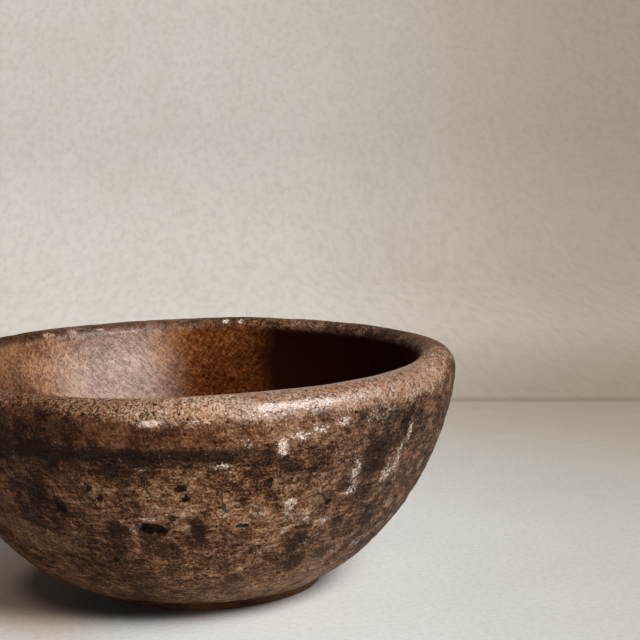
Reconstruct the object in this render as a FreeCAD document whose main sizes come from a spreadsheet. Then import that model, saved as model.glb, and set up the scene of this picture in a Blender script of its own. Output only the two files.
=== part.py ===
"""Round wooden bowl on a low turned foot ring, as a parametric FreeCAD document in millimetres.

Frame: +Z up, origin at the centre of the foot's resting face. Both pieces are turned about Z:
  bowl_body  thick-walled bowl with a rounded lip and a short round tenon under it
  foot_ring  ring of redder wood that fits round the tenon and carries the bowl
"""

import FreeCAD, Part
import math
import os

import Sketcher

PARTS_FOLDER = "parts"
START, END, CENTRE = 1, 2, 3  # the points of a sketched edge
ORIGIN_POINT = (-1, 1)
VERTICAL_AXIS = -2

# Driving dimensions, in millimetres. Heights are above the surface that the bowl stands on.
DIMENSIONS = {
    # outside of the bowl: three tangent arcs, from the widest ring down to the foot
    "rim_radius": 130.0,
    "widest_height": 109.0,
    "shoulder_radius": 76.0,
    "shoulder_height": 86.5,
    "flank_radius": 155.0,
    "flank_height": 25.3,
    "keel_radius": 81.0,
    # lip and inside
    "wall_thickness": 17.5,
    "lip_round": 5.5,
    "inner_shoulder_height": 88.0,
    "inner_flank_height": 38.0,
    "inner_corner_radius": 50.0,
    "floor_height": 19.0,
    # shallow turned band under the lip
    "band_height": 89.0,
    "band_depth": 0.6,
    "band_cutter_radius": 10.0,
    # foot and the joint that holds it
    "seat_height": 5.2,
    "tenon_radius": 46.0,
    "tenon_height": 2.2,
    "glue_gap": 0.1,
    "foot_top_radius": 59.0,
    "foot_rest_radius": 57.5,
    "foot_edge_round": 1.2,
}


def add_sheet(doc):
    """The spreadsheet that drives every sketch."""
    sheet = doc.addObject("Spreadsheet::Sheet", "dims")
    for row, (alias, value) in enumerate(DIMENSIONS.items(), start=1):
        sheet.set(f"A{row}", alias)
        sheet.set(f"B{row}", str(value))
        sheet.setAlias(f"B{row}", alias)
    return sheet


def origin_plane(body, role):
    """One of a body's own origin planes."""
    return next(f for f in body.Origin.OriginFeatures if f.Role == role)


class Section:
    """A half section in a body's XZ plane: a chain of edges whose sizes the sheet drives."""

    def __init__(self, body, name):
        self.sketch = body.newObject("Sketcher::SketchObject", name)
        self.sketch.AttachmentSupport = (origin_plane(body, "XZ_Plane"), [""])
        self.sketch.MapMode = "FlatFace"

    def line(self, start, end):
        edge = Part.LineSegment(FreeCAD.Vector(*start, 0), FreeCAD.Vector(*end, 0))
        return self.sketch.addGeometry(edge, False)

    def arc(self, centre, radius, low, high):
        """A counter-clockwise arc from angle low to angle high, in radians."""
        circle = Part.Circle(FreeCAD.Vector(*centre, 0), FreeCAD.Vector(0, 0, 1), radius)
        return self.sketch.addGeometry(Part.ArcOfCircle(circle, low, high), False)

    def circle(self, centre, radius):
        edge = Part.Circle(FreeCAD.Vector(*centre, 0), FreeCAD.Vector(0, 0, 1), radius)
        return self.sketch.addGeometry(edge, False)

    def tie(self, kind, *where):
        """A constraint with no size, such as Coincident or Tangent."""
        self.sketch.addConstraint(Sketcher.Constraint(kind, *where))

    def size(self, kind, where, name, formula):
        """A constraint whose size follows a formula of the sheet's cells."""
        value = self.sketch.evalExpression(formula)
        index = self.sketch.addConstraint(Sketcher.Constraint(kind, *where, float(value)))
        self.sketch.renameConstraint(index, name)
        self.sketch.setExpression(f"Constraints.{name}", formula)

    def radius(self, edge, name, formula):
        self.size("Radius", (edge,), name, formula)

    def height(self, edge, point, name, formula):
        self.size("DistanceY", (*ORIGIN_POINT, edge, point), name, formula)

    def reach(self, edge, point, name, formula):
        """A point's distance from the turning axis."""
        self.size("DistanceX", (*ORIGIN_POINT, edge, point), name, formula)

    def on_axis(self, edge, point):
        self.tie("PointOnObject", edge, point, VERTICAL_AXIS)


def turn(body, section, name, kind="PartDesign::Revolution"):
    """Turns a section a full circle about the body's Z axis, to add material or, as a Groove, to cut."""
    feature = body.newObject(kind, name)
    feature.Profile = section.sketch
    feature.ReferenceAxis = (section.sketch, ["V_Axis"])
    feature.Angle = 360.0
    return feature


def next_arc(centre, radius, low, new_radius):
    """The centre of an arc that goes on from another's low end, tangent to it."""
    step = radius - new_radius
    return (centre[0] + step * math.cos(low), centre[1] + step * math.sin(low))


def angle_at_height(centre, radius, height):
    """The angle, below the horizontal, at which an arc on the +X side reaches a height."""
    return math.asin((height - centre[1]) / radius)


def draw_wall_arcs(section, start, radii, heights):
    """Tangent arcs down from a point with an upright tangent, each to its own height.
    Returns the edges, and the last arc's centre and lowest angle, as a first guess for the solver."""
    centre = (start[0] - radii[0], start[1])
    high = 0.0
    edges = []
    for radius, following, height in zip(radii, [*radii[1:], None], heights):
        low = angle_at_height(centre, radius, height)
        edges.append(section.arc(centre, radius, low, high))
        last = (centre, low)
        if following:
            centre = next_arc(centre, radius, low, following)
        high = low
    for upper, lower in zip(edges, edges[1:]):
        section.tie("Tangent", upper, START, lower, END)
    return edges, last


def draw_outside(section, d):
    """The outer wall: shoulder, flank and keel arcs, from the widest ring to the foot's seat."""
    edges, _ = draw_wall_arcs(
        section,
        (d["rim_radius"], d["widest_height"]),
        [d["shoulder_radius"], d["flank_radius"], d["keel_radius"]],
        [d["shoulder_height"], d["flank_height"], d["seat_height"]],
    )
    shoulder, flank, keel = edges
    section.reach(shoulder, END, "rim_radius", "dims.rim_radius")
    section.height(shoulder, END, "widest_height", "dims.widest_height")
    section.height(shoulder, CENTRE, "shoulder_level", "dims.widest_height")
    section.radius(shoulder, "shoulder_radius", "dims.shoulder_radius")
    section.height(shoulder, START, "shoulder_height", "dims.shoulder_height")
    section.radius(flank, "flank_radius", "dims.flank_radius")
    section.height(flank, START, "flank_height", "dims.flank_height")
    section.radius(keel, "keel_radius", "dims.keel_radius")
    section.height(keel, START, "seat_height", "dims.seat_height")
    return shoulder, keel


def draw_lip(section, d, shoulder):
    """The lip: a quarter round each side of a narrow flat top."""
    level, rounding = d["widest_height"], d["lip_round"]
    outer_x = d["rim_radius"] - rounding
    inner_x = d["rim_radius"] - d["wall_thickness"] + rounding
    top = level + rounding
    outer = section.arc((outer_x, level), rounding, 0.0, math.pi / 2)
    flat = section.line((outer_x, top), (inner_x, top))
    inner = section.arc((inner_x, level), rounding, math.pi / 2, math.pi)
    section.tie("Tangent", shoulder, END, outer, START)
    section.radius(outer, "outer_lip_round", "dims.lip_round")
    section.tie("Vertical", outer, CENTRE, outer, END)
    section.tie("Coincident", outer, END, flat, START)
    section.tie("Horizontal", flat)
    section.tie("Tangent", flat, END, inner, START)
    section.radius(inner, "inner_lip_round", "dims.lip_round")
    section.tie("Horizontal", inner, CENTRE, inner, END)
    section.reach(inner, END, "inner_radius", "dims.rim_radius - dims.wall_thickness")
    return inner


def draw_inside(section, d, lip):
    """The inner wall, one wall thickness inside the outer one, and a dished floor with a round corner."""
    wall, level = d["wall_thickness"], d["widest_height"]
    edges, (centre, low) = draw_wall_arcs(
        section,
        (d["rim_radius"] - wall, level),
        [d["shoulder_radius"] - wall, d["flank_radius"] - wall],
        [d["inner_shoulder_height"], d["inner_flank_height"]],
    )
    upper, lower = edges
    section.tie("Tangent", lip, END, upper, END)
    section.radius(upper, "inner_shoulder_radius", "dims.shoulder_radius - dims.wall_thickness")
    section.height(upper, START, "inner_shoulder_height", "dims.inner_shoulder_height")
    section.radius(lower, "inner_flank_radius", "dims.flank_radius - dims.wall_thickness")
    section.height(lower, START, "inner_flank_height", "dims.inner_flank_height")

    corner_radius = d["inner_corner_radius"]
    corner_centre = next_arc(centre, d["flank_radius"] - wall, low, corner_radius)
    above_floor = corner_centre[1] - d["floor_height"]
    floor_radius = (corner_centre[0] ** 2 + above_floor**2 - corner_radius**2) / (
        2 * (above_floor - corner_radius)
    )
    floor_centre = (0.0, d["floor_height"] + floor_radius)
    meet = math.atan2(corner_centre[1] - floor_centre[1], corner_centre[0])
    corner = section.arc(corner_centre, corner_radius, meet, low)
    floor = section.arc(floor_centre, floor_radius, -math.pi / 2, meet)
    section.tie("Tangent", lower, START, corner, END)
    section.radius(corner, "inner_corner_radius", "dims.inner_corner_radius")
    section.tie("Tangent", corner, START, floor, END)
    section.on_axis(floor, CENTRE)
    section.on_axis(floor, START)
    section.height(floor, START, "floor_height", "dims.floor_height")
    return floor


def draw_underside(section, d, keel, floor):
    """The flat seat for the foot ring, the tenon inside it, and the axis that closes the section."""
    tenon, bottom, seat = d["tenon_radius"] - d["glue_gap"], d["tenon_height"], d["seat_height"]
    axis = section.line((0, d["floor_height"]), (0, bottom))
    underside = section.line((0, bottom), (tenon, bottom))
    side = section.line((tenon, bottom), (tenon, seat))
    ledge = section.line((tenon, seat), (d["foot_top_radius"], seat))
    section.tie("Coincident", floor, START, axis, START)
    section.tie("Coincident", axis, END, underside, START)
    section.on_axis(axis, END)
    section.tie("Horizontal", underside)
    section.tie("Coincident", underside, END, side, START)
    section.tie("Vertical", side)
    section.tie("Coincident", side, END, ledge, START)
    section.tie("Horizontal", ledge)
    section.tie("Coincident", ledge, END, keel, START)
    section.height(underside, END, "tenon_height", "dims.tenon_height")
    section.reach(underside, END, "tenon_radius", "dims.tenon_radius - dims.glue_gap")


def cut_band(doc, body, d):
    """A shallow round-bottomed band turned into the shoulder. The cutter's centre lies on an arm that
    goes out from the shoulder's own centre and crosses the wall at the band's height."""
    section = Section(body, "BandSection")
    pivot = (d["rim_radius"] - d["shoulder_radius"], d["widest_height"])
    reach = d["shoulder_radius"] + d["band_cutter_radius"] - d["band_depth"]
    drop = (d["widest_height"] - d["band_height"]) * reach / d["shoulder_radius"]
    tip = (pivot[0] + math.sqrt(reach**2 - drop**2), d["widest_height"] - drop)
    arm = section.line(pivot, tip)
    section.sketch.setConstruction(arm, True)
    cutter = section.circle(tip, d["band_cutter_radius"])
    section.tie("Coincident", cutter, CENTRE, arm, END)
    section.reach(arm, START, "pivot_reach", "dims.rim_radius - dims.shoulder_radius")
    section.height(arm, START, "pivot_height", "dims.widest_height")
    arm_length = "(dims.shoulder_radius + dims.band_cutter_radius - dims.band_depth)"
    section.size("Distance", (arm,), "arm_length", arm_length)
    section.height(
        arm,
        END,
        "cutter_height",
        "dims.widest_height - (dims.widest_height - dims.band_height)"
        f" * {arm_length} / dims.shoulder_radius",
    )
    section.radius(cutter, "cutter_radius", "dims.band_cutter_radius")

    doc.recompute()
    before = body.Shape.Volume
    groove = turn(body, section, "Band", kind="PartDesign::Groove")
    doc.recompute()
    if groove.Shape.Volume >= before:
        raise RuntimeError("the band cuts nothing")


def make_bowl_body(doc, d):
    body = doc.addObject("PartDesign::Body", "BowlBody")
    body.Label = "bowl_body"
    section = Section(body, "BowlSection")
    shoulder, keel = draw_outside(section, d)
    lip = draw_lip(section, d, shoulder)
    floor = draw_inside(section, d, lip)
    draw_underside(section, d, keel, floor)
    turn(body, section, "TurnedBowl")
    cut_band(doc, body, d)
    return body


def make_foot_ring(doc, d):
    """A flat ring with a slightly flared outer wall, eased along both edges of its resting face."""
    body = doc.addObject("PartDesign::Body", "FootRing")
    body.Label = "foot_ring"
    section = Section(body, "FootSection")
    inner, rest, top, seat = (
        d["tenon_radius"],
        d["foot_rest_radius"],
        d["foot_top_radius"],
        d["seat_height"],
    )
    face = section.line((inner, 0), (rest, 0))
    wall = section.line((rest, 0), (top, seat))
    seat_face = section.line((top, seat), (inner, seat))
    bore = section.line((inner, seat), (inner, 0))
    chain = [face, wall, seat_face, bore]
    for edge, following in zip(chain, chain[1:] + chain[:1]):
        section.tie("Coincident", edge, END, following, START)
    section.tie("Horizontal", face)
    section.tie("Horizontal", seat_face)
    section.tie("Vertical", bore)
    section.tie("PointOnObject", face, START, -1)
    section.reach(face, START, "foot_bore", "dims.tenon_radius")
    section.reach(face, END, "foot_rest_radius", "dims.foot_rest_radius")
    section.reach(wall, END, "foot_top_radius", "dims.foot_top_radius")
    section.height(wall, END, "foot_height", "dims.seat_height")
    ring = turn(body, section, "TurnedRing")
    doc.recompute()

    resting = [
        f"Edge{i}"
        for i, edge in enumerate(ring.Shape.Edges, start=1)
        if edge.BoundBox.ZMax < 1e-6 and isinstance(edge.Curve, Part.Circle)
    ]
    eased = body.newObject("PartDesign::Fillet", "EasedEdges")
    eased.Base = (ring, resting)
    eased.setExpression("Radius", "dims.foot_edge_round")
    body.Tip = eased
    return body


def check(doc, pieces):
    """Stops before anything is written if a feature failed or a piece isn't one sound solid."""
    for feature in doc.Objects:
        if {"Invalid", "Error"} & set(feature.State):
            raise RuntimeError(f"{feature.Name} failed: {feature.State}")
    for piece in pieces:
        shape = piece.Shape
        if shape.isNull() or not shape.isValid() or len(shape.Solids) != 1:
            raise RuntimeError(f"{piece.Label} isn't one valid solid")
        sketches = [s for s in piece.Group if s.isDerivedFrom("Sketcher::SketchObject")]
        loose = [s.Name for s in sketches if not s.FullyConstrained]
        if loose:
            raise RuntimeError(f"{loose} can still move")
        box = shape.optimalBoundingBox()
        print(f"{piece.Label}: {shape.Volume / 1000:.1f} cm3, x {box.XMin:.2f} to {box.XMax:.2f}, "
              f"z {box.ZMin:.2f} to {box.ZMax:.2f}")


def main():
    doc = FreeCAD.newDocument("bowl")
    add_sheet(doc)
    doc.recompute()
    pieces = [make_bowl_body(doc, DIMENSIONS), make_foot_ring(doc, DIMENSIONS)]
    doc.recompute()
    check(doc, pieces)
    os.makedirs(PARTS_FOLDER, exist_ok=True)
    for piece in pieces:
        piece.Shape.exportStep(os.path.join(PARTS_FOLDER, f"{piece.Label}.step"))


main()
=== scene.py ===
"""The looks of an old wooden bowl on its foot ring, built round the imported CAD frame.

Metres, +Z up, in the CAD frame. A place on the bowl is given by its bearing, in degrees round the Z axis
from the side that faces the camera (-Y) towards +X, and its height above the floor.
"""

import math

import bpy
import numpy as np
from mathutils import Matrix, Vector, noise


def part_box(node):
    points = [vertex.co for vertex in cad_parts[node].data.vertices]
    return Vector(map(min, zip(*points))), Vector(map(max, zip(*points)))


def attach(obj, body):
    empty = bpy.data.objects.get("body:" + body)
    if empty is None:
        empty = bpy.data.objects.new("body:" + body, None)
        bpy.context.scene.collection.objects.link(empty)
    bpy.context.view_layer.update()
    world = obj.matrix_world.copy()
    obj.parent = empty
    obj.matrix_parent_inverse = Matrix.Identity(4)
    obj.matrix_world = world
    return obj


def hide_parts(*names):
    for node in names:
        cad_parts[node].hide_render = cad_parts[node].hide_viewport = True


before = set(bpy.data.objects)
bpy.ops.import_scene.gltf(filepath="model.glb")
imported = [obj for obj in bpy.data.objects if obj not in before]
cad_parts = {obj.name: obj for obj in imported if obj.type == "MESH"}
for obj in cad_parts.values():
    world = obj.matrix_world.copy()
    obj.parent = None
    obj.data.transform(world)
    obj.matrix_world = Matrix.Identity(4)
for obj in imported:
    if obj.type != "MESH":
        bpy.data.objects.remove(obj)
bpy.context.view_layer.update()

MM = 0.001

# The bowl's section. The overall sizes come from the frame, the rest repeat the CAD sketch.
BOWL_LOW, BOWL_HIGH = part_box("bowl_body")
FOOT_LOW, FOOT_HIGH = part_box("foot_ring")
RIM_RADIUS = BOWL_HIGH.x
TOP = BOWL_HIGH.z
LIP_RISE = 5.5 * MM
WIDEST = TOP - LIP_RISE
WALL = 17.5 * MM
SHOULDER = (76 * MM, 86.5 * MM)  # radius of the arc, and the height that it runs down to
FLANK = (155 * MM, 25.3 * MM)
KEEL = (81 * MM, FOOT_HIGH.z)
INNER_SHOULDER = (SHOULDER[0] - WALL, 88 * MM)
INNER_FLANK = (FLANK[0] - WALL, 38 * MM)
INNER_CORNER = 50 * MM
FLOOR = 19 * MM
UNDERSIDE = BOWL_LOW.z
TENON_RADIUS = 45.9 * MM
BAND_HEIGHT = 89 * MM

# How this one, made by hand, strays from the section.
FOOT_SHIFT = Vector((5.0, 2.2, 0)) * MM
LIP_OUTER = (10.5 * MM, 10 * MM)  # how far the worn outer edge reaches in and down from the crest
LIP_INNER = (WALL - LIP_OUTER[0], LIP_RISE)
LIP_FOOT = TOP - LIP_OUTER[1]

# How closely sections are sampled before rows are picked along them, and how many columns turn them.
ARC_STEP = 0.2 * MM
FINE_STEP = 0.1 * MM
BOWL_COLUMNS = 536
FOOT_COLUMNS = 480


# ---------------------------------------------------------------- small helpers


def smooth(low, high, x):
    """0 below low, 1 above high, and a smooth step between; low may be above high."""
    t = np.clip((np.asarray(x, float) - low) / (high - low), 0, 1)
    return t * t * (3 - 2 * t)


def fractal(points, size, octaves=4, seed=0):
    """Fractal noise from about -1 to 1 with features of a size, at each of the points."""
    shift = Vector((17.3 * seed, -9.1 * seed, 5.7 * seed))
    scaled = points / size
    return np.array([noise.fractal(Vector(p) + shift, 1.0, 2.0, octaves) for p in scaled])


def srgb(red, green, blue):
    """A colour as linear values, from its 0 to 255 screen values."""
    linear = [(c / 12.92 if c <= 0.04045 else ((c + 0.055) / 1.055) ** 2.4) for c in
              (red / 255, green / 255, blue / 255)]
    return (*linear, 1.0)


# ---------------------------------------------------------------- the bowl's section


def arc_points(centre, radius, high, low):
    """(radius, height) points along an arc from one angle down to another."""
    count = max(int(abs(high - low) * radius / ARC_STEP), 8)
    angles = np.linspace(high, low, count)
    return np.c_[centre[0] + radius * np.cos(angles), centre[1] + radius * np.sin(angles)]


def tangent_arcs(start, arcs):
    """Points down a chain of tangent arcs from a place with an upright tangent. Each arc is a radius and
    the height that it ends at. Returns the points, and the last arc's centre and lowest angle."""
    centre = np.array([start[0] - arcs[0][0], start[1]])
    high = 0.0
    points = []
    for i, (radius, level) in enumerate(arcs):
        low = math.asin((level - centre[1]) / radius)
        points.append(arc_points(centre, radius, high, low))
        last = (centre.copy(), low)
        if i + 1 < len(arcs):
            step = radius - arcs[i + 1][0]
            centre += step * np.array([math.cos(low), math.sin(low)])
        high = low
    return np.vstack(points), last


def lip_points():
    """Over the lip from its inner edge to its outer one: quarters of two ellipses, worn a little flat."""
    flatness = 0.95
    turn = np.linspace(0, math.pi / 2, 80)
    up, along = np.sin(turn) ** flatness, np.cos(turn) ** flatness
    crest = RIM_RADIUS - LIP_OUTER[0]
    inner = np.c_[crest - along * LIP_INNER[0], TOP - (1 - up) * LIP_INNER[1]]
    outer = np.c_[crest + along * LIP_OUTER[0], TOP - (1 - up) * LIP_OUTER[1]]
    return np.vstack([inner, outer[::-1]])


def bowl_section():
    """The whole section, from the middle of the floor up the inside, over the lip, down the outside and
    under the tenon to the axis. Returns the points and how many of them lie before the lip's crest."""
    wall, (centre, low) = tangent_arcs((RIM_RADIUS - WALL, WIDEST), [INNER_SHOULDER, INNER_FLANK])
    step = INNER_FLANK[0] - INNER_CORNER
    corner = centre + step * np.array([math.cos(low), math.sin(low)])
    above = corner[1] - FLOOR
    floor_radius = (corner[0] ** 2 + above**2 - INNER_CORNER**2) / (2 * (above - INNER_CORNER))
    floor_centre = (0.0, FLOOR + floor_radius)
    meet = math.atan2(corner[1] - floor_centre[1], corner[0])
    inside = np.vstack(
        [
            arc_points(floor_centre, floor_radius, -math.pi / 2, meet),
            arc_points(corner, INNER_CORNER, meet, low),
            wall[::-1],
        ]
    )
    lip = lip_points()
    outside, _ = tangent_arcs((RIM_RADIUS, WIDEST), [SHOULDER, FLANK, KEEL])
    outside = outside[outside[:, 1] < LIP_FOOT - 1.5 * MM]
    seat = outside[-1]
    under = [
        seat,
        (TENON_RADIUS, seat[1]),
        (TENON_RADIUS, UNDERSIDE),
        (0.0, UNDERSIDE),
    ]
    crest = len(inside) + len(lip) // 2
    return np.vstack([inside, lip, outside, under]), crest


def section_rows(section, crest, spacing):
    """Rows picked along the section so that neighbours are spacing(height, outside) apart.
    Returns their points, outward normals and whether each is outside the lip's crest."""
    gaps = np.linalg.norm(np.diff(section, axis=0), axis=1)
    keep = np.r_[True, gaps > 1e-7]
    outside = (np.arange(len(section)) > crest)[keep]
    section = section[keep]
    gaps = np.linalg.norm(np.diff(section, axis=0), axis=1)
    length = np.r_[0, np.cumsum(gaps)]
    # long straight stretches are cut up first, so that the spacing can change along them
    fine = np.arange(0, length[-1], FINE_STEP)
    points = np.c_[np.interp(fine, length, section[:, 0]), np.interp(fine, length, section[:, 1])]
    side = np.interp(fine, length, outside.astype(float)) > 0.5
    steps = np.array([FINE_STEP / spacing(z, out) for (_, z), out in zip(points, side)])
    count = np.cumsum(steps)
    at = np.interp(np.arange(0.5, count[-1]), count, fine)
    rows = np.c_[np.interp(at, length, section[:, 0]), np.interp(at, length, section[:, 1])]
    tangent = np.gradient(rows, axis=0)
    tangent /= np.linalg.norm(tangent, axis=1, keepdims=True)
    normals = np.c_[-tangent[:, 1], tangent[:, 0]]
    return rows, normals, np.interp(at, length, outside.astype(float)) > 0.5


def turned_grid(rows, normals, columns):
    """A section turned round Z: points and normals, each rows x columns x 3, and column bearings."""
    bearings = np.arange(columns) * 2 * math.pi / columns
    across = np.stack([np.sin(bearings), -np.cos(bearings)], axis=1)

    def turn(profile):
        around = profile[:, None, :1] * across[None, :, :]
        up = np.repeat(profile[:, None, 1:], columns, axis=1)
        return np.concatenate([around, up], axis=2)

    return turn(rows), turn(normals), bearings


def grid_faces(rows, columns):
    """Quads that join a turned grid's rows, wound so that they face along its normals."""
    index = np.arange(rows * columns).reshape(rows, columns)
    low, high = index[:-1], index[1:]
    return np.stack([low, np.roll(low, -1, 1), np.roll(high, -1, 1), high], axis=2).reshape(-1, 4)


def make_mesh(name, points, faces, fields):
    """A smooth-shaded object from points and faces (index lists), with named values at its points."""
    mesh = bpy.data.meshes.new(name)
    mesh.from_pydata(points.tolist(), [], faces)
    for field, values in fields.items():
        layer = mesh.attributes.new(field, "FLOAT", "POINT")
        layer.data.foreach_set("value", np.ascontiguousarray(values, dtype=np.float32))
    mesh.shade_smooth()
    mesh.validate()
    piece = bpy.data.objects.new(name, mesh)
    bpy.context.scene.collection.objects.link(piece)
    return piece


# ---------------------------------------------------------------- marks on the bowl

# Pits: bearing, height, width, tallness and depth, the last four in mm. The other lists have a strength
# in place of the depth.
PITS = [
    (-10, 55, 8.5, 5, 2.3),
    (-8, 54, 5, 5, 2.3),
    (-5, 60, 5, 3, 0.7),
    (-3, 75, 5, 4, 1.1),
    (-2, 70, 4, 3.2, 0.9),
    (-20, 70, 4.5, 3, 0.7),
    (-22, 75, 4, 3, 0.7),
    (15, 75, 4.4, 4.6, 1.2),
    (10, 55, 6, 3.2, 0.8),
    (5, 65, 3, 2.5, 0.7),
    (-15, 60, 3.5, 2, 0.6),
    (10, 45, 8, 2, 0.5),
    (-30, 65, 6, 8, 0.8),
]
SOOT = [
    (0, 55, 7, 14, 1.0),
    (-18, 55, 9, 9, 0.9),
    (25, 45, 7, 9, 1.0),
    (10, 25, 13, 6, 0.7),
    (-35, 70, 15, 15, 0.9),
    (40, 80, 20, 20, 0.8),
    (35, 80, 12, 9, 0.6),
    (-10, 50, 14, 6, 0.6),
    (35, 60, 9, 6, 0.6),
    (10, 50, 10, 5, 0.6),
    (-25, 35, 14, 8, 0.5),
    (5, 35, 12, 7, 0.4),
]
RESIDUE = [
    (17, 92, 6, 8, 1.0),
    (21, 96, 10, 5, 0.95),
    (25, 98, 9, 4, 0.9),
    (30, 100, 8, 4, 0.8),
    (5, 85, 8, 2.5, 0.85),
    (20, 65, 9, 3.4, 1.0),
    (20, 60, 5, 9, 0.8),
    (25, 55, 6, 4, 0.8),
    (30, 52, 8, 4, 0.7),
    (35, 65, 9, 3, 0.9),
    (35, 75, 6, 16, 0.65),
    (45, 70, 6, 9, 0.8),
    (48, 78, 4, 13, 0.85),
    (50, 88, 3.6, 12, 0.75),
    (10, 95, 8, 5, 0.45),
    (-10, 85, 7, 2.5, 0.45),
    (40, 100, 24, 8, 0.4),
    (-8, 106, 10, 2.6, 1.2),
    (0, 106, 4, 2, 0.9),
    (12, 106, 16, 3, 0.6),
    (222, 112, 8, 3, 0.9),
    (214, 112, 6, 3, 0.8),
    (206, 112, 5, 2, 0.8),
    (170, 113, 4, 2, 1.0),
    (166, 113, 3, 2, 0.9),
    (-10, 60, 8, 2, 0.9),
    (-14, 55, 3.5, 6, 0.6),
    (15, 40, 5, 4, 0.5),
    (-25, 80, 4, 3, 0.5),
]
# Where the outer wall is paler (or, under zero, darker) than its mean.
TONES = [
    (-5, 65, 56, 28, 0.35),
    (20, 60, 44, 26, 0.55),
    (20, 100, 44, 14, 0.6),
    (40, 90, 40, 15, -0.6),
    (50, 90, 30, 16, -0.4),
    (20, 30, 50, 20, -0.2),
    (45, 100, 40, 9, -0.5),
    (50, 55, 26, 14, 0.4),
    (-10, 88, 36, 9, -0.6),
    (10, 70, 34, 12, -0.5),
    (5, 50, 22, 10, -0.4),
    (35, 55, 24, 16, 0.35),
    (20, 35, 34, 16, -0.3),
    (65, 80, 24, 20, -0.3),
    (-10, 40, 30, 22, 0.4),
    (0, 20, 60, 16, 0.1),
    (30, 30, 50, 34, 0.4),
    (-35, 98, 60, 22, -0.7),
    (-20, 50, 30, 8, -0.3),
    (20, 85, 44, 10, -0.3),
    (50, 95, 40, 20, -0.15),
]

# Bearings, in degrees: the middle of the dark band, of the lip's worn skin, of its polished stretch and
# of the rubbed stretch on its far side; and the left flank, which has no scattered crusts.
BAND_MIDDLE = -13
WEAR_MIDDLE = 18
POLISH_MIDDLE = 34
FAR_RUB_MIDDLE = 197
CLEAN_SIDE = (-75, 5)


def scattered(rng, count, low_height, high_height, sizes, strengths):
    """Marks of the same kind as the lists above, at places drawn at random."""
    marks = []
    for _ in range(count):
        bearing = rng.uniform(-180, 180)
        height = rng.uniform(low_height, high_height)
        width = rng.uniform(*sizes)
        marks.append((bearing, height, width, width * rng.uniform(0.5, 1.1), rng.uniform(*strengths)))
    return marks


def turn_from(bearings, bearing):
    """The angle of each bearing from a given one, in degrees either way."""
    return np.degrees((bearings - math.radians(bearing) + math.pi) % (2 * math.pi) - math.pi)


def mark_field(points, bearings, heights, radii, marks, ragged, edge, add=False):
    """How much each point lies in the marks, times their last value: 1 at a mark's middle, 0 outside it.
    edge is the share of its size over which a mark fades, and ragged how far noise bends its outline.
    Marks that overlap add up, or else the strongest counts."""
    total = np.zeros(len(points))
    for bearing, height, width, tall, strength in marks:
        turned = np.radians(turn_from(bearings, bearing))
        near = np.flatnonzero((np.abs(heights - height * MM) < tall * MM * 1.2)
                              & (np.abs(turned) * radii < width * MM * 1.2))
        if not len(near):
            continue
        aside = turned[near] * radii[near] / (width * MM / 2)
        up = (heights[near] - height * MM) / (tall * MM / 2)
        bend = fractal(points[near], min(width, tall) * 0.4 * MM, 3, seed=int(height)) * ragged
        inside = smooth(1.0 + edge / 2, 1.0 - edge / 2, np.hypot(aside, up) + bend)
        if add:
            total[near] += inside * strength
        else:
            total[near] = np.maximum(total[near], inside * strength)
    return total


# ---------------------------------------------------------------- the bowl


def bowl_spacing(height, outside):
    """Distance between the section's rows: finest on the lip and the outer wall."""
    if height > LIP_FOOT:
        return 1.0 * MM
    if outside:
        return 1.35 * MM if height > FOOT_HIGH.z + 0.3 * MM else 3.5 * MM
    return 2.0 * MM if height > 68 * MM else 5.0 * MM


def hand_wander(bearing, height):
    """How the bowl strays from a true circle and a level rim: radial and upward shifts, in metres."""
    share = smooth(20 * MM, 105 * MM, height)
    out = 0.5 * np.cos(2 * bearing + 0.7) + 0.35 * np.cos(3 * bearing - 1.1) + 0.1 * np.cos(7 * bearing)
    up = 0.5 * np.cos(2 * bearing - 2.0) + 0.3 * np.sin(5 * bearing + 0.4) + 0.08 * np.sin(9 * bearing)
    return out * share * MM, up * smooth(70 * MM, 108 * MM, height) * MM


def hand_band(bearings):
    """How the band's height wanders: it drops a little towards the right."""
    return (1.2 * np.sin(bearings * 2 + 2.2) - 2.2 * np.sin(bearings)) * MM


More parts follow.
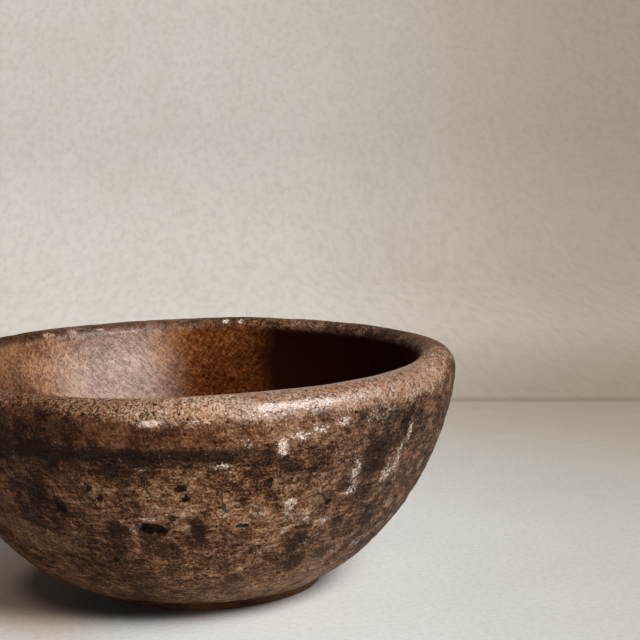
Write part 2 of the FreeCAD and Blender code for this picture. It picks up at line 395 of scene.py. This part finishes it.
def make_bowl():
    section, crest = bowl_section()
    rows, row_normals, row_outside = section_rows(section, crest, bowl_spacing)
    grid, normals, column_bearings = turned_grid(rows, row_normals, BOWL_COLUMNS)
    count = len(rows)
    points, normals = grid.reshape(-1, 3), normals.reshape(-1, 3)
    bearings = np.tile(column_bearings, count)
    radii, heights = (np.repeat(rows[:, side], BOWL_COLUMNS) for side in (0, 1))
    outside = np.repeat(row_outside, BOWL_COLUMNS)
    rng = np.random.default_rng(11)

    wall = outside & (heights > FOOT_HIGH.z + 0.5 * MM)
    at = np.flatnonzero(wall | (heights > WIDEST))
    place = (points[at], bearings[at], heights[at], radii[at])
    small_pits = scattered(rng, 150, 20, 100, (1.8, 3.6), (0.2, 0.7))
    soot_marks = SOOT + scattered(rng, 40, 25, 100, (5, 16), (0.3, 0.8))
    crusts = scattered(rng, 90, 30, 106, (3, 8), (0.25, 0.65))
    residue_marks = RESIDUE + [mark for mark in crusts if not CLEAN_SIDE[0] < mark[0] < CLEAN_SIDE[1]]
    tone_marks = TONES + scattered(rng, 24, 20, 100, (25, 60), (-0.3, 0.3))

    def on_wall(marks, ragged, edge, add=False):
        field = np.zeros(len(points))
        field[at] = mark_field(*place, marks, ragged, edge, add)
        return field

    pits = on_wall(PITS + small_pits, 0.35, 0.5)
    soot = on_wall(soot_marks, 0.5, 1.2)
    residue = on_wall(residue_marks, 0.6, 1.3)
    tone = on_wall(tone_marks, 0.3, 1.8, add=True)

    lumps = fractal(points, 70 * MM, 2, seed=1) * 0.6 + fractal(points, 18 * MM, 3, seed=2) * 0.3
    rough = fractal(points, 5 * MM, 3, seed=3)
    scale = np.where(outside, 0.34, 0.06)
    scale = scale * np.where(outside & (heights < 22 * MM), 0.5, 1.0)
    scale = scale * (1 - 0.75 * smooth(LIP_FOOT - 4 * MM, LIP_FOOT + 2 * MM, heights))
    lift = (lumps * np.where(outside, 1.0, 0.5) + rough * scale) * MM
    # the turned band under the lip: a shallow dip, deepest and darkest a little left of the front
    from_band = np.abs(heights - BAND_HEIGHT - hand_band(bearings))
    reach = 0.12 + 0.88 * smooth(44, 14, np.abs(turn_from(bearings, BAND_MIDDLE)))
    band = smooth(7.5 * MM, 0.5 * MM, from_band) * wall
    lift = lift - band * (0.12 + 0.35 * reach) * MM - pits * MM
    lift = np.where((heights < FOOT_HIGH.z + 0.3 * MM) & outside, 0.0, lift)

    points = points + normals * lift[:, None]
    out, up = hand_wander(bearings, heights)
    across = np.c_[np.sin(bearings), -np.cos(bearings)]
    points[:, :2] += across * out[:, None]
    points[:, 2] += up
    low = smooth(70 * MM, 60 * MM, radii) * outside
    points += np.array(FOOT_SHIFT)[None, :] * low[:, None]

    # how far the lip's worn pale skin comes down the outside: less at the sides
    ragged_edge = fractal(points, 11 * MM, 3, seed=5) * 2.6 * MM
    turn = turn_from(bearings, WEAR_MIDDLE)
    sides = np.maximum(smooth(-10, -52, turn), smooth(34, 60, turn))
    wear = smooth((97 + 8 * sides) * MM, (108 + 5 * sides) * MM, heights + ragged_edge)
    wear = wear * (1 - 0.2 * sides) * (1 - 0.7 * smooth(70, 120, np.abs(turn_from(bearings, 0))))
    over_lip = np.where(outside, 1.0, smooth(WIDEST - 1 * MM, WIDEST + 4 * MM, heights))
    polished = smooth(33, 20, np.abs(turn_from(bearings, POLISH_MIDDLE)))
    polish = polished * smooth(102 * MM, 107 * MM, heights) * np.where(outside, 1.0, over_lip)
    # the far edge of the mouth is rubbed too, where the inside meets the lip
    far_edge = smooth(34, 14, np.abs(turn_from(bearings, FAR_RUB_MIDDLE)))
    far_edge = far_edge * smooth(104 * MM, 109 * MM, heights)
    polish = np.where(outside, polish, np.maximum(polish, 0.6 * far_edge))
    # stain and painted shade darken the inside's right: most on the far wall, less over the floor and near
    # wall
    bend = fractal(points, 40 * MM, 4, seed=6) * 12 * MM
    far = smooth(-50 * MM, 45 * MM, points[:, 1] + 1.5 * bend)
    stain_and_shade = smooth(30 * MM, 52 * MM, points[:, 0] + 0.04 * points[:, 1] + bend) * (0.45 + 0.55 * far)
    faces = grid_faces(count, BOWL_COLUMNS).tolist()
    faces.append(list(range(BOWL_COLUMNS))[::-1])
    faces.append(list(range((count - 1) * BOWL_COLUMNS, count * BOWL_COLUMNS)))
    fields = {
        "inside": np.where(outside, 0.0, 1.0 - over_lip),
        "wear": wear * over_lip,
        "polish": polish,
        "pit": np.clip(pits / (0.5 + 0.5 * pits), 0, 1),
        "soot": soot,
        "residue": residue,
        "band": band * reach,
        "tone": tone,
        "stain_and_shade": stain_and_shade,
        "far": far,
    }
    return make_mesh("bowl_wood_body", points, faces, fields)


# ---------------------------------------------------------------- the foot


def make_foot():
    low, high = 0.0, FOOT_HIGH.z
    rest, top = 56.2 * MM, 57.4 * MM
    bore = TENON_RADIUS + 0.1 * MM
    ease = 1.1 * MM
    section = np.vstack(
        [
            (bore, high),
            (bore, ease),
            arc_points((bore + ease, ease), ease, -math.pi, -math.pi / 2),
            arc_points((rest - ease, ease), ease, -math.pi / 2, -0.1),
            (top, high),
            (top - 0.2 * MM, high + 0.4 * MM),
            (bore, high),
        ]
    )
    section = section[::-1]
    gaps = np.linalg.norm(np.diff(section, axis=0), axis=1)
    length = np.r_[0, np.cumsum(gaps)]
    at = np.linspace(0, length[-1], 60)[:-1]
    rows = np.c_[np.interp(at, length, section[:, 0]), np.interp(at, length, section[:, 1])]
    tangent = np.roll(rows, -1, 0) - np.roll(rows, 1, 0)
    tangent /= np.linalg.norm(tangent, axis=1, keepdims=True)
    grid, normals, _ = turned_grid(rows, np.c_[-tangent[:, 1], tangent[:, 0]], FOOT_COLUMNS)
    points, normals = grid.reshape(-1, 3), normals.reshape(-1, 3)
    stretched = points * np.array([1, 1, 4.0])
    lift = fractal(stretched, 22 * MM, 3, seed=7) * 0.3 + fractal(stretched, 5 * MM, 3, seed=8) * 0.1
    free = smooth(low, 0.6 * MM, points[:, 2]) * smooth(high + 0.2 * MM, high - 0.8 * MM, points[:, 2])
    points = points + normals * (lift * free * MM)[:, None]
    points[:, 2] = np.maximum(points[:, 2], low)
    points += np.array(FOOT_SHIFT)[None, :]
    # the last row joins the first, all the way round the ring's section
    faces = grid_faces(len(rows) + 1, FOOT_COLUMNS) % len(points)
    return make_mesh("foot_wood_ring", points, faces.tolist(), {})


# ---------------------------------------------------------------- shader building


class Shader:
    """Builds one node material. Sizes are in metres of the object's own space."""

    def __init__(self, name):
        self.material = bpy.data.materials.new(name)
        self.material.use_nodes = True
        self.tree = self.material.node_tree
        self.tree.nodes.clear()
        self.place = self.node("ShaderNodeTexCoord").outputs["Object"]

    def node(self, kind, **settings):
        made = self.tree.nodes.new(kind)
        for key, value in settings.items():
            setattr(made, key, value)
        return made

    def feed(self, socket, value):
        """Links a socket's value, or sets a plain one."""
        if isinstance(value, bpy.types.NodeSocket):
            self.tree.links.new(value, socket)
        elif value is not None:
            socket.default_value = value

    def noise(self, size, detail=4.0, roughness=0.55, distortion=0.0, vector=None):
        made = self.node("ShaderNodeTexNoise", noise_dimensions="3D")
        self.feed(made.inputs["Vector"], vector or self.place)
        self.feed(made.inputs["Scale"], 1 / size)
        self.feed(made.inputs["Detail"], detail)
        self.feed(made.inputs["Roughness"], roughness)
        self.feed(made.inputs["Distortion"], distortion)
        return made.outputs["Fac"]

    def cells(self, size, vector=None, feature="F1"):
        """Distance from the middle of a cell, or from its edge."""
        made = self.node("ShaderNodeTexVoronoi", feature=feature)
        self.feed(made.inputs["Vector"], vector or self.place)
        self.feed(made.inputs["Scale"], 1 / size)
        return made.outputs["Distance"]

    def swirl(self, size):
        """A noise's colour, to bend places with."""
        made = self.node("ShaderNodeTexNoise", noise_dimensions="3D")
        self.feed(made.inputs["Vector"], self.place)
        self.feed(made.inputs["Scale"], 1 / size)
        return made.outputs["Color"]

    def stretch(self, lengths, rotation=(0, 0, 0)):
        """The place, drawn out by so much along axes turned by a rotation."""
        made = self.node("ShaderNodeMapping", vector_type="TEXTURE")
        self.feed(made.inputs["Vector"], self.place)
        self.feed(made.inputs["Scale"], lengths)
        self.feed(made.inputs["Rotation"], rotation)
        return made.outputs["Vector"]

    def field(self, name):
        return self.node("ShaderNodeAttribute", attribute_name=name).outputs["Fac"]

    def span(self, value, low, high, to_low=0.0, to_high=1.0):
        """A smooth step of a value from to_low at low to to_high at high; low may be above high."""
        made = self.node("ShaderNodeMapRange", interpolation_type="SMOOTHSTEP")
        self.feed(made.inputs["Value"], value)
        self.feed(made.inputs["From Min"], low)
        self.feed(made.inputs["From Max"], high)
        self.feed(made.inputs["To Min"], to_low)
        self.feed(made.inputs["To Max"], to_high)
        return made.outputs["Result"]

    def math(self, operation, a, b=None, c=None):
        made = self.node("ShaderNodeMath", operation=operation)
        for socket, value in zip(made.inputs, (a, b, c)):
            self.feed(socket, value)
        return made.outputs["Value"]

    def times(self, *values):
        product = values[0]
        for value in values[1:]:
            product = self.math("MULTIPLY", product, value)
        return product

    def total(self, *terms):
        """The sum of (value, weight) terms."""
        result = None
        for value, weight in terms:
            result = self.math("MULTIPLY_ADD", value, weight, 0.0 if result is None else result)
        return result

    def ramp(self, value, stops):
        """A colour by value: stops are (position, colour)."""
        made = self.node("ShaderNodeValToRGB")
        elements = made.color_ramp.elements
        while len(elements) < len(stops):
            elements.new(0.5)
        for element, (position, colour) in zip(elements, stops):
            element.position = position
            element.color = colour
        self.feed(made.inputs["Fac"], value)
        return made.outputs["Color"]

    def mix(self, amount, a, b, blend="MIX"):
        made = self.node("ShaderNodeMix", data_type="RGBA", blend_type=blend)
        self.feed(made.inputs[0], amount)
        self.feed(made.inputs[6], a)
        self.feed(made.inputs[7], b)
        return made.outputs[2]

    def blend(self, amount, a, b):
        """The same for plain values."""
        made = self.node("ShaderNodeMix", data_type="FLOAT")
        self.feed(made.inputs[0], amount)
        self.feed(made.inputs[2], a)
        self.feed(made.inputs[3], b)
        return made.outputs[0]

    def bump(self, height, distance, strength=1.0):
        made = self.node("ShaderNodeBump")
        self.feed(made.inputs["Height"], height)
        self.feed(made.inputs["Distance"], distance)
        self.feed(made.inputs["Strength"], strength)
        return made.outputs["Normal"]

    def surface(self, colour, roughness, normal, specular, coat=0.0, coat_roughness=0.3):
        shader = self.node("ShaderNodeBsdfPrincipled")
        self.feed(shader.inputs["Base Color"], colour)
        self.feed(shader.inputs["Roughness"], roughness)
        self.feed(shader.inputs["Specular IOR Level"], specular)
        self.feed(shader.inputs["Coat Weight"], coat)
        self.feed(shader.inputs["Coat Roughness"], coat_roughness)
        self.feed(shader.inputs["Normal"], normal)
        self.feed(shader.inputs["Coat Normal"], normal)
        output = self.node("ShaderNodeOutputMaterial")
        self.tree.links.new(shader.outputs["BSDF"], output.inputs["Surface"])
        return self.material


# ---------------------------------------------------------------- materials


# The means of the outside's and the inside's bump heights.
RUGGED_MEAN = 1.75
WEAVE_MEAN = 0.21


def bowl_wood():
    s = Shader("old_bowl_wood")
    where = s.node("ShaderNodeSeparateXYZ")
    s.feed(where.inputs[0], s.place)
    aside, up = where.outputs["X"], where.outputs["Z"]
    inside, wear, polish, pit = s.field("inside"), s.field("wear"), s.field("polish"), s.field("pit")
    soot, residue, band = s.field("soot"), s.field("residue"), s.field("band")
    tone, stain_and_shade, far = s.field("tone"), s.field("stain_and_shade"), s.field("far")

    broad = s.noise(36 * MM, 3, 0.55)
    middle = s.noise(8 * MM, 4, 0.62, 0.6)
    grain = s.noise(2.4 * MM, 4, 0.72, 0.15)
    fine = s.noise(0.95 * MM, 2, 0.6)
    strokes = s.noise(1.3 * MM, 3, 0.6, 0.3, s.stretch((3.2, 1.0, 1.0), (0.0, 0.75, 0.0)))
    counter = s.noise(1.3 * MM, 3, 0.6, 0.3, s.stretch((3.2, 1.0, 1.0), (0.0, -0.9, 0.0)))

    # outside: dark dry wood, mottled at every size
    rings = s.noise(1.2 * MM, 4, 0.65, 0.2, s.stretch((6.0, 6.0, 1.0)))
    mottle = s.total((broad, 0.5), (middle, 0.9), (grain, 0.45), (fine, 0.7), (strokes, 0.4),
                     (rings, 0.6), (tone, 0.25))
    mottle = s.span(mottle, 1.43, 2.24)
    wall = s.ramp(
        mottle,
        [
            (0.0, srgb(22, 12, 6)),
            (0.26, srgb(74, 44, 26)),
            (0.5, srgb(128, 87, 58)),
            (0.75, srgb(172, 131, 99)),
            (1.0, srgb(226, 196, 168)),
        ],
    )
    # the zone under the lip is redder
    red_zone = s.times(s.span(up, 89 * MM, 97 * MM), s.span(aside, 0.06, -0.02, 0.35, 0.8))
    wall = s.mix(red_zone, wall, s.mix(mottle, srgb(40, 17, 6), srgb(156, 99, 60)))
    # towards its foot it is greyer and more even: worn wood with a painted grey sheen of the floor
    grey_wear_and_sheen = s.span(s.total((up, 1 / MM), (middle, 30.0)), 52, 24, 0.0, 0.6)
    wall = s.mix(grey_wear_and_sheen, wall, s.mix(mottle, srgb(68, 42, 26), srgb(160, 126, 100)))
    # to the right it is more mauve, and at the left dusty
    mauve = s.span(aside, 0.02, 0.085, 0.0, 0.5)
    wall = s.mix(mauve, wall, s.mix(mottle, srgb(34, 21, 15), srgb(172, 135, 114)))
    patches = s.span(s.total((broad, 1.0), (middle, 0.6)), 0.72, 1.0)
    dusty = s.times(patches, s.span(aside, -0.02, -0.085), 0.45)
    wall = s.mix(dusty, wall, srgb(116, 102, 88))
    # the worn lip: pale specks in a dark ground, duller where it is polished
    specks = s.total((grain, 0.6), (fine, 0.9), (middle, 0.3), (wear, 0.35))
    worn = s.ramp(
        s.span(specks, 0.86, 1.42),
        [
            (0.0, srgb(40, 24, 14)),
            (0.3, srgb(104, 72, 51)),
            (0.6, srgb(164, 128, 100)),
            (1.0, srgb(232, 204, 180)),
        ],
    )
    worn = s.mix(s.span(middle, 0.44, 0.62, 0.0, 0.75), worn, srgb(216, 178, 146), "MULTIPLY")
    worn = s.mix(s.times(polish, 0.9), worn, srgb(196, 184, 184), "MULTIPLY")
    wall = s.mix(wear, wall, worn)
    # dark grime in the band and the stains; painted shade darker still in the pits
    grime = s.mix(s.span(grain, 0.35, 0.7), srgb(13, 7, 3), srgb(60, 36, 21))
    dark = s.span(s.total((band, 0.9), (middle, 0.5), (grain, 0.5)), 0.66, 1.4, 0.0, 0.9)
    stain = s.span(s.total((soot, 0.9), (middle, 0.6), (grain, 0.8)), 0.85, 1.5, 0.0, 0.9)
    wall = s.mix(s.math("MAXIMUM", dark, stain), wall, grime)
    # painted shade: the pits' hollows painted near black
    pit_shade = s.span(s.total((pit, 1.0), (grain, 0.4)), 0.74, 0.92, 0.0, 0.9)
    wall = s.mix(pit_shade, wall, srgb(16, 8, 4))
    # short cracks: pieces of a net
    bent = s.node("ShaderNodeVectorMath", operation="ADD")
    s.feed(bent.inputs[0], s.place)
    sway = s.node("ShaderNodeVectorMath", operation="SCALE")
    s.feed(sway.inputs[0], s.swirl(4 * MM))
    s.feed(sway.inputs["Scale"], 5 * MM)
    s.feed(bent.inputs[1], sway.outputs["Vector"])
    net = s.cells(13 * MM, bent.outputs["Vector"], "DISTANCE_TO_EDGE")
    cracks = s.times(s.span(net, 0.045, 0.012), s.span(middle, 0.5, 0.6), 0.8)
    wall = s.mix(s.times(cracks, s.span(up, 96 * MM, 88 * MM)), wall, srgb(18, 9, 4))
    # pinholes, then crusts of pale residue with a stained halo, and pale dust
    pinholes = s.span(s.cells(5.5 * MM), 0.2, 0.12, 0.0, 0.85)
    wall = s.mix(s.times(pinholes, s.span(middle, 0.46, 0.54)), wall, srgb(16, 8, 4))
    crumbs = s.total((residue, 0.3), (s.noise(1.0 * MM, 3, 0.8), 1.2), (middle, 0.3))
    flecks = s.times(s.span(crumbs, 0.92, 1.01), s.span(residue, 0.05, 0.3))
    halo = s.times(s.span(residue, 0.05, 0.8), s.span(grain, 0.38, 0.6), 0.4)
    wall = s.mix(halo, wall, srgb(194, 157, 137))
    dust = s.times(s.span(s.noise(1.1 * MM, 3, 0.7), 0.63, 0.72), s.span(middle, 0.42, 0.6), 0.7)
    flecks = s.math("MAXIMUM", flecks, dust)
    wall = s.mix(s.times(flecks, 0.96), wall, srgb(255, 232, 216))

    # inside: oiled and smooth, with fine strokes both ways
    weave = s.total((strokes, 0.5), (counter, 0.5), (fine, 0.3), (broad, 0.5), (middle, 0.3))
    bowl = s.ramp(
        s.span(weave, 0.82, 1.27),
        [
            (0.0, srgb(64, 34, 16)),
            (0.5, srgb(140, 88, 52)),
            (1.0, srgb(208, 154, 110)),
        ],
    )
    across = s.total((aside, 1.0), (broad, 26 * MM), (middle, 12 * MM), (1.0, -19 * MM))
    # painted shade: darker and more orange to the right, darker at the far left, darker deeper down
    bowl = s.mix(s.span(across, -0.036, 0.004), bowl, srgb(200, 172, 126), "MULTIPLY")
    bowl = s.mix(s.span(across, -0.07, -0.095, 0.0, 0.8), bowl, srgb(160, 150, 130), "MULTIPLY")
    bowl = s.mix(s.span(up, 106 * MM, 82 * MM, 0.0, 0.7), bowl, srgb(190, 176, 160), "MULTIPLY")
    # painted sheen: the window's reflection painted pale grey on the far wall's left
    painted_sheen = s.times(s.span(across, -0.085, -0.05), s.span(across, 0.002, -0.03), s.blend(far, 0.15, 0.65))
    bowl = s.mix(painted_sheen, bowl, s.mix(s.span(weave, 0.8, 1.3), srgb(124, 100, 87), srgb(208, 183, 170)))
    # stain and painted shade: the inside's right painted near black
    bowl = s.mix(stain_and_shade, bowl, s.mix(weave, srgb(8, 2, 1), srgb(34, 12, 4)))
    # painted shade: the whole of the outside is darker and browner towards the left
    painted_shade_left = s.span(aside, 0.015, -0.1, 0.0, 0.75)
    wall = s.mix(painted_shade_left, wall, srgb(190, 158, 124), "MULTIPLY")
    colour = s.mix(inside, wall, bowl)

    out = s.math("SUBTRACT", 1.0, inside)
    roughness = s.blend(inside, s.span(grain, 0.3, 0.7, 0.55, 0.75), s.span(weave, 0.75, 1.25, 0.5, 0.36))
    roughness = s.blend(polish, roughness, s.span(grain, 0.35, 0.65, 0.2, 0.4))
    roughness = s.blend(s.times(flecks, out), roughness, 0.85)
    # the inside shines where it is waxed: on the left, high up, and nowhere that it is painted dark
    waxed = s.times(s.span(aside, 0.0, -0.04, 0.1, 1.0), s.blend(stain_and_shade, 1.0, 0.05),
                    s.span(up, 84 * MM, 103 * MM, 0.3, 1.0))
    specular = s.blend(inside, s.blend(polish, 0.1, 0.85), waxed)
    # a relief's mean is taken off it, so that where it fades it doesn't slope
    dents = s.noise(5 * MM, 2, 0.5, 0.3)
    rugged = s.total((middle, 1.2), (grain, 0.6), (fine, 0.3), (dents, 1.4), (flecks, 0.2),
                     (pit_shade, -0.5), (cracks, -0.3), (1.0, -RUGGED_MEAN))
    outer_relief = s.times(rugged, s.span(up, 12 * MM, 35 * MM, 0.5, 1.0), s.blend(polish, 1.0, 0.14))
    relief = s.blend(inside, outer_relief, s.total((weave, 0.2), (1.0, -WEAVE_MEAN)))
    normal = s.bump(relief, 3.2 * MM)
    return s.surface(colour, roughness, normal, specular, s.times(polish, 0.3), 0.22)


def foot_wood():
    s = Shader("old_foot_wood")
    long = s.stretch((4.0, 4.0, 0.45))
    streaks = s.noise(4 * MM, 5, 0.65, 0.3, long)
    broad = s.noise(24 * MM, 3)
    colour = s.mix(s.span(streaks, 0.35, 0.68), srgb(50, 25, 13), srgb(140, 86, 52))
    colour = s.mix(s.span(broad, 0.35, 0.7, 0.0, 0.5), colour, srgb(64, 34, 20))
    normal = s.bump(streaks, 0.5 * MM)
    return s.surface(colour, s.span(streaks, 0.3, 0.7, 0.5, 0.75), normal, 0.3)


# ---------------------------------------------------------------- stage, light and camera

# The line behind the bowl where the floor's tone gives way to the backdrop's: its Y at X = 0 and its slope.
FLOOR_EDGE, FLOOR_EDGE_SLOPE = 0.484, -0.202
DAYLIGHT = (1.0, 0.985, 0.965)


def make_stage():
    """A round sweep: a flat floor that curves up into a wall all round."""
    flat, bend, wall_top, columns = 1.22, 0.6, 1.0, 96
    angles = np.linspace(0, math.pi / 2, 14)
    profile = [(0.0, 0.0), (0.3, 0.0), (0.7, 0.0), (flat, 0.0)]
    profile += [(flat + bend * math.sin(a), bend - bend * math.cos(a)) for a in angles[1:]]
    profile.append((flat + bend, wall_top))
    profile = np.array(profile)
    grid, _, _ = turned_grid(profile[1:], profile[1:], columns)
    faces = grid_faces(len(profile) - 1, columns).tolist()
    faces.append(list(range(columns))[::-1])
    sweep = make_mesh("studio_sweep", grid.reshape(-1, 3), faces, {})
    sweep.data.materials.append(pale_plaster())


def pale_plaster():
    s = Shader("pale_plaster")
    where = s.node("ShaderNodeSeparateXYZ")
    s.feed(where.inputs[0], s.place)
    aside, back = where.outputs["X"], where.outputs["Y"]
    from_edge = s.math("SUBTRACT", s.total((back, 1.0), (aside, -FLOOR_EDGE_SLOPE)), FLOOR_EDGE)
    cloud = s.noise(0.2, 4, 0.6)
    brushed = s.noise(0.02, 4, 0.6, 0.0, s.stretch((4.0, 1.0, 1.0), (0.0, 0.0, 0.2)))
    # painted light: paler towards the front, darker towards the backdrop and to the right
    floor = s.mix(s.span(from_edge, -0.4, 0.06), srgb(240, 242, 242), srgb(204, 196, 183))
    floor = s.mix(s.span(aside, -0.02, 0.34, 0.0, 0.9), floor, srgb(206, 200, 190), "MULTIPLY")
    floor = s.mix(s.times(s.span(cloud, 0.35, 0.7), 0.12), floor, srgb(170, 164, 152))
    floor = s.mix(s.times(s.span(brushed, 0.5, 0.8), 0.12), floor, srgb(240, 240, 238))
    floor_grain = s.span(s.noise(0.003, 3, 0.6), 0.4, 0.7)
    floor = s.mix(s.times(floor_grain, 0.12), floor, srgb(120, 112, 100))
    # painted light and shade: the backdrop's paler and darker stretches stand for how light falls on it
    # the backdrop is paler to the left, darker near its edge and higher up, and its clouds are long in Y
    across = s.math("DIVIDE", aside, s.math("ADD", back, 0.85))
    backdrop = s.mix(s.span(across, 0.0, 0.28), srgb(249, 244, 237), srgb(200, 191, 175))
    rise = s.math("SQRT", s.math("MAXIMUM", s.math("DIVIDE", where.outputs["Z"], 0.158), 0.0))
    backdrop = s.mix(s.math("MINIMUM", rise, 1.0), backdrop, srgb(218, 218, 218), "MULTIPLY")
    backdrop = s.mix(s.span(from_edge, 0.45, 0.0), backdrop, srgb(214, 209, 202), "MULTIPLY")
    drawn_out = s.stretch((1.0, 7.0, 1.0))
    smears = s.noise(0.12, 6, 0.7, 0.4, drawn_out)
    backdrop = s.mix(s.times(s.span(smears, 0.35, 0.7), 0.13), backdrop, srgb(176, 166, 148))
    backdrop_grain = s.span(s.noise(0.008, 3, 0.6, 0.0, drawn_out), 0.4, 0.7)
    backdrop = s.mix(s.times(backdrop_grain, 0.13), backdrop, srgb(120, 110, 96))
    colour = s.mix(s.span(from_edge, -0.003, 0.003), floor, backdrop)
    # painted shade: a dark line where the floor's tone meets the backdrop's, as in a corner
    painted_corner_shade = s.times(s.span(from_edge, -0.012, -0.001), s.span(from_edge, 0.02, 0.004), 0.3)
    colour = s.mix(painted_corner_shade, colour, srgb(96, 84, 68))
    # painted shadow round where the bowl stands, and painted warm shade to the left of it
    shifted = s.node("ShaderNodeVectorMath", operation="SUBTRACT")
    s.feed(shifted.inputs[0], s.place)
    s.feed(shifted.inputs[1], (-22 * MM, 8 * MM, 0))
    length = s.node("ShaderNodeVectorMath", operation="LENGTH")
    s.feed(length.inputs[0], shifted.outputs["Vector"])
    away = length.outputs["Value"]
    colour = s.mix(s.span(away, 77 * MM, 58 * MM, 0.0, 0.85), colour, srgb(48, 34, 22))
    warm_shadow_tint = s.times(s.span(away, 130 * MM, 70 * MM, 0.0, 0.8), s.span(aside, -0.03, -0.08))
    colour = s.mix(warm_shadow_tint, colour, srgb(255, 226, 196), "MULTIPLY")
    normal = s.bump(s.total((brushed, 0.6), (s.noise(0.005, 3), 0.4)), 0.4 * MM, 0.5)
    return s.surface(colour, 0.8, normal, specular=0.15)


def area_light(name, direction, distance, size, power, aim=(0, 0, TOP / 2), spread=180):
    """A rectangular daylight that faces a place, the bowl's middle if none is given, from a direction."""
    data = bpy.data.lights.new(name, "AREA")
    data.shape = "RECTANGLE"
    data.size, data.size_y = size
    data.energy = power
    data.color = DAYLIGHT
    data.spread = math.radians(spread)
    light = bpy.data.objects.new(name, data)
    towards = Vector(direction).normalized()
    light.location = towards * distance + Vector(aim)
    light.rotation_mode = "QUATERNION"
    light.rotation_quaternion = towards.to_track_quat("Z", "Y")
    bpy.context.scene.collection.objects.link(light)


def add_lights():
    area_light("window", (0.48, -0.62, 0.66), 3.4, (1.3, 1.2), 102)
    area_light("side_window", (0.74, -0.28, 0.62), 3.0, (0.9, 1.2), 32)
    behind = (-0.45, 1.25, TOP / 2)
    area_light("backdrop_wash", (0.0, -0.52, 0.854), 1.5, (0.6, 0.6), 1.35, behind, 110)
    world = bpy.data.worlds.new("room_air")
    world.use_nodes = True
    background = world.node_tree.nodes["Background"]
    background.inputs["Color"].default_value = (1.0, 0.95, 0.88, 1.0)
    background.inputs["Strength"].default_value = 0.03
    bpy.context.scene.world = world


def add_camera():
    """A long lens, aimed to the right of the bowl's middle and rolled slightly, as if held by hand."""
    distance, rise = 6.574 * RIM_RADIUS, 1.928 * RIM_RADIUS
    aside, down, roll = math.radians(4.27), math.radians(8.125), math.radians(-1.34)
    data = bpy.data.cameras.new("camera")
    data.sensor_width = 36.0
    data.lens = 98.95
    data.clip_start = 0.05
    camera = bpy.data.objects.new("camera", data)
    level = math.cos(down)
    ahead = Vector((math.sin(aside) * level, math.cos(aside) * level, -math.sin(down)))
    right = Vector((math.cos(aside), -math.sin(aside), 0))
    up = right.cross(ahead)
    rolled_right = math.cos(roll) * right + math.sin(roll) * up
    rolled_up = math.cos(roll) * up - math.sin(roll) * right
    turn = Matrix((rolled_right, rolled_up, -ahead)).transposed().to_4x4()
    camera.matrix_world = Matrix.Translation((0, -distance, rise)) @ turn
    bpy.context.scene.collection.objects.link(camera)
    bpy.context.scene.camera = camera


# ---------------------------------------------------------------- the scene


def main():
    add_camera()
    add_lights()
    make_stage()
    bowl, foot = make_bowl(), make_foot()
    bowl.data.materials.append(bowl_wood())
    foot.data.materials.append(foot_wood())
    for piece, node, slot in ((bowl, "bowl_body", "bowl_wood"), (foot, "foot_ring", "foot_wood")):
        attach(piece, "root")
        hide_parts(node)
    bpy.context.scene.view_settings.view_transform = "Standard"


main()
